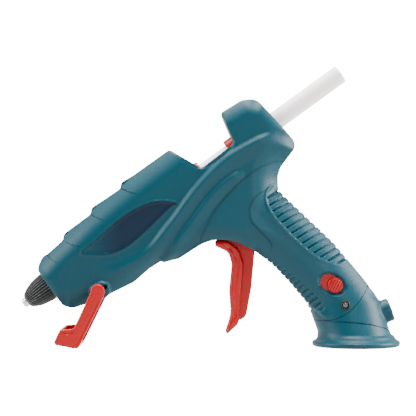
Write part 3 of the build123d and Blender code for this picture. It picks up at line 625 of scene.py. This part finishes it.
for name, operation, bars in (
    ("boss_tool", "UNION", [(spot - across * 18.0, across, 3.0, 36.0) for spot, top in screws]),
    ("boss_tool", "UNION", [(spot + across * (top - 3.0), across, 4.0, 9.0) for spot, top in screws]),
    ("well_tool", "DIFFERENCE", [
        (spot + across * (top - head_height), across, 2.65, 12.0) for spot, top in screws
    ]),
    ("bore_tool", "DIFFERENCE", [(spot + across * (top - 20.6), across, 1.35, 20.0) for spot, top in screws]),
    ("hole_tool", "DIFFERENCE", [
        (on_barrel(8), rearward, 9.1, 22.0),
        (on_barrel(108), rearward, 8.8, 72.0),
        (Vector((-7.7, -25, 25.5)), across, 2.85, 20.0),
        (inlet_face - inlet_axis * 11, inlet_axis, 5.95, 12.0),
        (up * -1, up, 23.6, 4.4),
        (stand_pivot - across * 25, across, 2.25, 9.2),
        (stand_pivot + across * 15.8, across, 2.25, 9.2),
    ]),
    ("hole_tool", "DIFFERENCE", [(on_barrel(175), rearward, 6.1, 40.0)]),
):
    tool = bar_object(name, *bars)
    if operation == "UNION":
        cut(tool, under_skin, "INTERSECT", keep_tool=True)
    cut(body, tool, operation)
bpy.data.objects.remove(under_skin)
slot_line = [(-88, 59), (-88, 72), (-56, 72), (-46, 60), (-44.5, 43.5), (-54, 43.5), (-66, 54)]
cut(body, prism_object("slot_tool", slot_line, -4.8, 4.8))
cut(body, prism_object("window_tool", oblong((-15.58, 38.06), switch_turn, 7, 4.8, 4.75), -20, -11.5))
key_line = rounded([(-151.1, 34.1, 0.8), (-147.8, 35.5, 0.8), (-148.6, 38.0, 0.8), (-151.3, 37.2, 0.8)])
for low, high in ((-25, -14.5), (14.5, 25)):
    cut(body, prism_object("key_tool", key_line, low, high))


def foot_region(gap):
    """The side view of what belongs to the foot moulding, its border moved in by a gap."""
    arc = smooth_curve([
        (-20, 16.0), (-13.1, 17.3), (-7.0, 20.4), (-2.3, 24.4), (2.0, 29.2), (5.1, 33.6), (7, 38),
    ])
    corners = np.vstack([[(-60, -5), (-60, 15.6)], arc, [(60, 38), (60, -5)]])
    return corners + np.array((gap, -gap))


parting = 0.1
foot = copy_of(body, "foot_moulding_part")
cut(foot, prism_object("foot_tool", foot_region(parting), -60, 60), "INTERSECT")
cut(body, prism_object("foot_tool", foot_region(-parting), -60, 60))
right = copy_of(body, "right_shell_part")
left = body
left.name = "left_shell_part"
everything = np.array([(-260, -60), (-260, 200), (100, 200), (100, -60)])
cut(left, prism_object("half_tool", everything, -80, -0.06), "INTERSECT")
cut(right, prism_object("half_tool", everything, 0.06, 80), "INTERSECT")


def barrel_axis_coords(co):
    """Place along the barrel, height above its axis and place across, of every vertex."""
    dx, dz = co[:, 0] - nozzle_end.x, co[:, 2] - nozzle_end.z
    return dx * rearward.x + dz * rearward.z, dx * upward.x + dz * upward.z, co[:, 1]


# ---- Nozzle sleeve and nozzle tip ----
# A black silicone sleeve, moulded with fine flutes that run to its blunt end, keeps fingers off the
# hot nozzle. Only the turned, nickel-plated end of the nozzle stands out of it.
sleeve_profile = [(3.0, 2.4), (3.0, 3.7), (3.3, 4.1), (4.2, 4.9), (6.0, 6.0), (8.5, 7.1), (11.5, 7.95),
                  (15.0, 8.5), (18.0, 8.75), (20.5, 8.85), (22.3, 8.95), (22.4, 10.6), (24.6, 10.6),
                  (24.6, 6.6), (20.0, 6.4), (12.0, 5.0)]
sleeve_line = []
for (s0, r0), (s1, r1) in zip(sleeve_profile[:-1], sleeve_profile[1:]):
    sleeve_line += [(s0 + (s1 - s0) * k / 4, r0 + (r1 - r0) * k / 4) for k in range(4)]
sleeve = turned("nozzle_sleeve_part", sleeve_line + [sleeve_profile[-1]], steps=360)
co = places(sleeve)
s, p, q = barrel_axis_coords(co)
radius = np.hypot(p, q)
flute = 0.5 - 0.5 * np.cos(np.arctan2(q, p) * 32)
outer = np.interp(s, [a for a, r in sleeve_profile[1:12]], [r for a, r in sleeve_profile[1:12]])
depth = 0.8 * flute ** 1.6 * ease(s, 3.2, 5.5) * (1 - ease(s, 21.0, 22.0)) * (radius > outer - 0.3)
shrink = 1 - depth / np.maximum(radius, 0.1)
axis_points = np.array(nozzle_end) + s[:, None] * np.array(rearward)
move_to(sleeve, axis_points + (co - axis_points) * shrink[:, None])

tip_profile = [(0.0, 0.9), (0.0, 1.9), (0.25, 2.35), (0.8, 2.7), (3.0, 2.75), (3.05, 2.95), (11.5, 4.6),
               (20.1, 6.2), (25.0, 6.2), (25.0, 4.0), (33.0, 4.0), (33.0, 2.6), (24.0, 2.6), (21.0, 0.9)]
tip = turned("nozzle_tip_part", tip_profile)


# ---- Glue stick, inlet sleeve and carriage ----
# The stick is cut square and slides in the red silicone inlet sleeve and the red carriage, whose
# collars show in the notch. A cross piece under the collars holds the gripper and the drive pin.
stick_profile = [(70, 0), (70, 5.2), (70.4, 5.6), (234.7, 5.6), (235, 5.3), (235, 0)]
glue = turned("glue_stick_part", stick_profile, steps=72, closed=False)

inlet_profile = [(92, 7.3), (92, 9.3), (92.4, 9.5), (103.6, 9.5), (104.2, 9.2), (106, 8.2), (133.4, 8.2),
                 (134, 7.6), (134, 6.2), (132, 5.85), (102, 5.85), (102, 7.3)]
inlet = turned("inlet_sleeve_part", inlet_profile)

front_collar_profile = [(153.8, 6.1), (153.8, 7.9), (154.2, 8.3), (162.6, 8.3), (162.6, 6.1)]
carriage = turned("carriage_part", front_collar_profile)
rear_collar = turned("rear_collar", [(168.4, 6.1), (168.4, 8.3), (175.6, 8.3), (176, 7.9), (176, 6.1)])


def barrel_outline(corners):
    """Corners (place, height) along the barrel as a side-view outline."""
    return [(on_barrel(s, p).x, on_barrel(s, p).z) for s, p in corners]


cut(carriage, rear_collar, "UNION")
rail_line = barrel_outline([(145.5, -13.4), (176, -13.4), (176, -6.8), (168.4, -6.8), (168.4, -9.1),
                            (162.6, -9.1), (162.6, -6.8), (153.8, -6.8), (153.8, -9.1), (145.5, -9.1)])
for low, high in ((3.35, 5.75), (-5.75, -3.35)):
    cut(carriage, prism_object("rail", rail_line, low, high), "UNION")
pin_place, gripper_place = on_barrel(149.15, -11.9), on_barrel(164.6, -10.9)
for spot, radius in ((pin_place, 1.55), (gripper_place, 1.25)):
    cut(carriage, bar_object("pin_tool", (spot - across * 8, across, radius, 16.0)))


# ---- Trigger ----
# Glossy red moulding: a wide finger pad with a rolled front, on a narrower web that goes up into the
# slot, turns on a pin and drives the carriage through a forked lever.
finger_pad_line = rounded([
    (-84.8, 63.6, 1.2), (-84.4, 60.0, 1.0), (-76.6, 56.4, 6.0), (-74.6, 49.0, 5.0), (-76.2, 33.0, 20.0),
    (-75.2, 19.0, 20.0), (-78.6, 8.6, 0.8), (-77.0, 7.6, 0.8), (-70.2, 14.0, 6.0), (-69.4, 25.0, 20.0),
    (-67.4, 49.6, 5.0), (-70.0, 58.4, 6.0), (-77.6, 63.6, 3.0),
])
web_line = rounded([
    (-83.4, 61.4, 1.0), (-76.0, 58.0, 5.0), (-73.2, 49.0, 3.0), (-73.5, 15.4, 1.5), (-66.2, 16.4, 5.0),
    (-62.8, 35.0, 20.0), (-60.8, 57.0, 6.0), (-59.8, 74.0, 6.0), (-67.0, 81.0, 6.0), (-84.2, 65.2, 1.0),
])
small_grid = 0.4
trigger = slab("trigger_part", finger_pad_line, -7.6, 7.6, 2.2, small_grid)
co, out = places(trigger), normals(trigger)
side_groove = smooth_curve([
    (-80.5, 61.2), (-75.0, 58.6), (-71.9, 54.5), (-71.0, 49.5), (-72.3, 38), (-72.3, 22), (-74.2, 13.5),
])
d, share = nearest(side_groove, co[:, 0], co[:, 2])
sink = 0.5 * (1 - ease(np.abs(d), 0.5, 1.6)) * ends(share, 0.1, 0.15) * (np.abs(co[:, 1]) > 6)
co -= out * sink[:, None]
move_to(trigger, co)
pivot = Vector((-66, 0, 76))
lever_turn = math.radians(115)
lever_along = Vector((math.cos(lever_turn), 0, math.sin(lever_turn)))
lever_square = Vector((-math.sin(lever_turn), 0, math.cos(lever_turn)))
lever_corners = [pivot + lever_along * a + lever_square * b for a, b in (
    (0, -4.2), (28.0, -4.2), (28.0, -1.7), (21.0, -1.7), (21.0, 1.7), (28.0, 1.7), (28.0, 4.2), (0, 4.2))]
lever_line = [(corner.x, corner.z) for corner in lever_corners]
cut(trigger, slab("web_form", web_line, -4.0, 4.0, 0.7, small_grid), "UNION")
cut(trigger, bar_object("hub_form", (pivot - across * 5.0, across, 5.0, 10.0)), "UNION")
cut(trigger, prism_object("lever_form", lever_line, -2.9, 2.9), "UNION")
cut(trigger, bar_object("pivot_tool", (pivot - across * 8.0, across, 2.05, 16.0)))


# ---- Stand ----
# A glossy red stirrup. Each arm turns on a round boss, and a slanting toe joins them below.
arm_line = rounded([
    (-157.8, 33.4, 1.0), (-149.8, 33.4, 1.0), (-150.0, 30.8, 2.0), (-165.2, 0.0, 0.6), (-168.6, 0.2, 2.0),
    (-178.6, 2.2, 0.8), (-179.6, 3.6, 0.8), (-175.9, 11.3, 1.2), (-167.8, 11.8, 1.2),
])
toe_line = rounded([
    (-165.4, 0.0, 0.5), (-168.6, 0.2, 2.0), (-178.6, 2.2, 0.8), (-179.6, 3.6, 0.8), (-175.9, 11.3, 0.5),
    (-174.1, 11.3, 0.5), (-177.2, 4.6, 0.8), (-168.4, 2.8, 2.0), (-164.2, 2.6, 0.5),
])
disc_line = oblong((stand_pivot.x, stand_pivot.z), 0, 4.3, 4.3, 4.29)
lip = smooth_curve([(-175.2, 10.2), (-172.5, 9.2), (-170.0, 9.3), (-167.5, 10.6)])
edge_line = smooth_curve([(-152.0, 30.5), (-166.2, 1.6)])
stand = slab("stand_part", toe_line, -21.6, 21.6, 0.8, small_grid)
for side in (-1, 1):
    low, high = sorted((side * 18.8, side * 21.8))
    arm = slab("arm_form", arm_line, low, high, 0.9, small_grid)
    cut(arm, slab("disc_form", disc_line, low, high, 0.9, small_grid), "UNION")
    co, out = places(arm), normals(arm)
    for line, sink in ((lip, 0.45), (edge_line, 0.3)):
        d, share = nearest(line, co[:, 0], co[:, 2])
        co -= out * (sink * (1 - ease(np.abs(d), 0.3, 1.0)) * ends(share, 0.1, 0.1))[:, None]
    move_to(arm, co)
    cut(stand, arm, "UNION")
    peg = stand_pivot + across * (side * 19.3)
    cut(stand, bar_object("peg_form", (peg, across * -side, 2.2, 4.1)), "UNION")


# ---- Switch and pilot lamp ----
# A round red slide button with five grip grooves across its face, and a black bezel with a clear lens.
# The supply socket and its pins are the CAD nodes themselves.
knob_spot = Vector((-13.6, 0, 37.1))
form = bmesh.new()
round_bar(form, knob_spot - across * 12.4, -across, 4.3, 3.6, segments=96, bevel=0.35)
knob = mesh_object("switch_knob_part", form)
along_travel = Vector((math.cos(switch_turn), 0, math.sin(switch_turn)))
groove_pitch = 1.5
for k in range(-2, 3):
    middle = knob_spot + along_travel * (k * groove_pitch)
    cut(knob, prism_object("groove_tool", oblong((middle.x, middle.z), switch_turn, 0.32, 6), -17, -15.1))
slider_line = oblong((knob_spot.x, knob_spot.z), switch_turn, 9.5, 5.7, 3.0)
slider = prism_object("switch_slider_part", slider_line, -12.35, -11.2)
stem = Vector((knob_spot.x, -11.25, knob_spot.z))
cut(slider, bar_object("stem_form", (stem, across, 1.4, 2.0)), "UNION")


def turned_across(name, spot, profile, steps=64):
    """A turned piece standing out of the left side: (distance from the centre plane, radius) points."""
    piece = turned(name, profile, steps, on_axis=False)
    turn = Matrix.Translation(Vector((spot[0], 0, spot[1])) * MM) @ Matrix.Rotation(math.radians(90), 4, "X")
    piece.data.transform(turn)
    return piece


lamp_spot = (-7.7, 25.5)
bezel = turned_across("lamp_bezel_part", lamp_spot, [
    (12.5, 1.97), (12.5, 2.78), (17.1, 2.78), (17.45, 2.65), (17.6, 2.4), (17.5, 2.15), (17.0, 1.97)])
lens = turned_across("lamp_lens_part", lamp_spot, [
    (10.5, 0), (10.5, 1.85), (16.6, 1.85), (17.2, 1.55), (17.55, 1.0), (17.7, 0)])


# ---- Foot pad and screws ----
# A rubber disc with one round groove under the foot, and seven cross-head steel screws in the wells on
# the right.
pad_profile = [(0, 0), (0, 20.2), (0.5, 20.5), (0.5, 21.1), (0, 21.4), (0, 22.9), (0.4, 23.4),
               (1.6, 23.4), (1.6, 0)]
foot_rubber = turned("foot_pad_part", pad_profile, 128, on_axis=False)
screw_parts = []
for i, (spot, top) in enumerate(screws):
    form = bmesh.new()
    round_bar(form, spot + across * (top - head_height), across, 2.55, head_height, 48, 0.45)
    screw = mesh_object(f"case_screw_{i + 1}", form)
    shank = bar_object("shank_form", (spot + across * (top - 19.6), across, 1.3, 18.4))
    cut(screw, shank, "UNION")
    for dx, dz in ((0.35, 1.5), (1.5, 0.35)):
        cut(screw, prism_object("cross_tool", oblong((spot.x, spot.z), 0, dx, dz), top - 1.0, top + 1))
    screw_parts.append(screw)


# ---- Materials ----
# One procedural surface for each real material. Moulded plastics and metals alike carry a fine even
# grain, and all of them use object coordinates.
def surface(name, colour, roughness, settings=None, grain=None, gloss_change=0.0):
    """A Principled material. grain is (size of one grain, height) in millimetres."""
    material = bpy.data.materials.new(name)
    material.use_nodes = True
    tree = material.node_tree
    shader = tree.nodes["Principled BSDF"]
    shader.inputs["Base Color"].default_value = linear(colour)
    shader.inputs["Roughness"].default_value = roughness
    for key, value in (settings or {}).items():
        shader.inputs[key].default_value = value
    where = node(tree, "ShaderNodeTexCoord")
    if grain:
        size, height = grain
        noise = node(tree, "ShaderNodeTexNoise", {"Scale": 1 / (size * MM), "Detail": 2.0, "Roughness": 0.5},
                     {"Vector": where.outputs["Object"]})
        bump = node(tree, "ShaderNodeBump", {"Strength": 1.0, "Distance": height * MM},
                    {"Height": noise.outputs["Fac"]})
        tree.links.new(bump.outputs["Normal"], shader.inputs["Normal"])
    if gloss_change:
        clouds = node(tree, "ShaderNodeTexNoise", {"Scale": 35.0, "Detail": 3.0},
                      {"Vector": where.outputs["Object"]})
        limits = {"To Min": roughness - gloss_change, "To Max": roughness + gloss_change}
        shift = node(tree, "ShaderNodeMapRange", limits, {"Value": clouds.outputs["Fac"]})
        tree.links.new(shift.outputs["Result"], shader.inputs["Roughness"])
    return material


shell_teal, panel_blue = "#003844", "#00182c"
metal = {"Metallic": 1.0}
shell_paint = surface("moulded_abs_spark_eroded_teal", shell_teal, 0.42, {"Specular IOR Level": 0.22},
                      grain=(0.45, 0.012), gloss_change=0.03)
red_paint = surface("moulded_abs_gloss_red", "#a40001", 0.3,
                    {"Specular IOR Level": 0.25, "Coat Weight": 0.1, "Coat Roughness": 0.12},
                    grain=(1.5, 0.004), gloss_change=0.03)
black_paint = surface("moulded_abs_satin_black", "#121314", 0.38, grain=(0.5, 0.006))
rubber_paint = surface("moulded_nitrile_rubber_black", "#1c1c1d", 0.75, None, (0.6, 0.02), 0.05)
sleeve_paint = surface("moulded_silicone_black", "#242627", 0.33, None, (0.5, 0.008), 0.04)
red_silicone = surface("moulded_silicone_red", "#d8201c", 0.5,
                       {"Subsurface Weight": 0.15, "Subsurface Scale": 0.002}, (0.6, 0.006))
glue_paint = surface("cast_eva_glue_translucent", "#fafaf8", 0.42,
                     {"Subsurface Weight": 0.6, "Subsurface Scale": 0.006}, (3.0, 0.02), 0.06)
nozzle_paint = surface("turned_nickel_plated_brass", "#d6d6d4", 0.32, metal, (0.3, 0.004), 0.04)
chamber_paint = surface("die_cast_aluminium", "#b9bcbf", 0.45, metal, (0.5, 0.02), 0.05)
steel_paint = surface("drawn_zinc_plated_steel", "#b4b6ba", 0.3, metal, (0.3, 0.003), 0.05)
brass_paint = surface("stamped_brass", "#c9a65a", 0.3, metal, (0.4, 0.003), 0.05)
ceramic_paint = surface("pressed_ptc_ceramic", "#5d5a57", 0.6, grain=(0.3, 0.02))
lens_paint = surface("moulded_polycarbonate_clear", "#3c3f3e", 0.08,
                     {"Coat Weight": 0.6, "Coat Roughness": 0.03})
board_paint = surface("laminated_fr4_board_green", "#2f6a3f", 0.4, grain=(0.8, 0.01))
wire_paint = surface("extruded_pvc_insulation_white", "#d8d4c8", 0.5, grain=(0.6, 0.005))
paints = {
    "shell_plastic": shell_paint, "red_plastic": red_paint, "black_plastic": black_paint,
    "pad_rubber": rubber_paint, "sleeve_silicone": sleeve_paint, "red_silicone": red_silicone,
    "glue": glue_paint, "nozzle_metal": nozzle_paint, "chamber_metal": chamber_paint,
    "steel": steel_paint, "brass": brass_paint, "heater_ceramic": ceramic_paint,
    "lens_plastic": lens_paint, "board": board_paint, "wire_insulation": wire_paint,
}

# The leaf panel on each side is printed a deep matt blue that fades out towards the nozzle.
tree = shell_paint.node_tree
shader = tree.nodes["Principled BSDF"]
print_mask = node(tree, "ShaderNodeAttribute", {"attribute_name": "panel_print"})
base = node(tree, "ShaderNodeMix", {"data_type": "RGBA"}, {"Factor": print_mask.outputs["Fac"]})
base.inputs["A"].default_value = linear(shell_teal)
base.inputs["B"].default_value = linear(panel_blue)
tree.links.new(base.outputs["Result"], shader.inputs["Base Color"])


# ---- Places in the frame ----
# Every piece takes its material, moves with its body and stands for its CAD node.
def settle(piece, slot_name, body_name, *nodes, angle=32):
    piece.data.materials.clear()
    piece.data.materials.append(paints[slot_name])
    piece.data.shade_smooth()
    piece.data.set_sharp_from_angle(angle=math.radians(angle))
    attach(piece, body_name)
    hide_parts(*nodes)


turning = np.roll(leaf_line, -1, 0) - leaf_line
leaf_sense = np.sign((leaf_line[:, 0] * turning[:, 1] - leaf_line[:, 1] * turning[:, 0]).sum())
for piece in (left, right, foot):
    count = len(piece.data.polygons)
    centres = np.empty(count * 3, np.float32)
    facing = np.empty(count * 3, np.float32)
    piece.data.polygons.foreach_get("center", centres)
    piece.data.polygons.foreach_get("normal", facing)
    centres = centres.reshape(-1, 3).astype(float) / MM
    facing = facing.reshape(-1, 3)
    inside, _ = nearest(leaf_line, centres[:, 0], centres[:, 2], closed=True)
    on_skin = (np.abs(centres[:, 1]) > 13) * (facing[:, 1] * np.sign(centres[:, 1]) > 0.7)
    amount = (inside * leaf_sense > -0.02) * on_skin * ease(centres[:, 0], -166, -138)
    layer = piece.data.attributes.new("panel_print", "FLOAT", "FACE")
    layer.data.foreach_set("value", amount.astype(np.float32))

settle(left, "shell_plastic", "housing", "left_shell")
settle(right, "shell_plastic", "housing", "right_shell")
settle(foot, "shell_plastic", "housing", "foot_moulding")
settle(sleeve, "sleeve_silicone", "housing", "nozzle_sleeve")
settle(tip, "nozzle_metal", "housing", "nozzle_tip")
settle(glue, "glue", "glue_stick", "glue_stick")
settle(inlet, "red_silicone", "housing", "inlet_sleeve")
settle(carriage, "red_plastic", "carriage", "carriage")
settle(trigger, "red_plastic", "trigger", "trigger")
settle(stand, "red_plastic", "stand", "stand")
settle(knob, "red_plastic", "switch", "switch_knob")
settle(slider, "red_plastic", "switch", "switch_slider")
settle(bezel, "black_plastic", "housing", "lamp_bezel")
settle(lens, "lens_plastic", "housing", "lamp_lens")
settle(foot_rubber, "pad_rubber", "housing", "foot_pad")
for screw in screw_parts:
    settle(screw, "steel", "housing", "shell_screws")

slots = {part["node"]: part["material_slot"] for part in frame["record"]["subparts"]}
for name, cad_node in frame["nodes"].items():
    if not cad_node.hide_render:
        cad_node.data.materials.clear()
        cad_node.data.materials.append(paints[slots[name]])
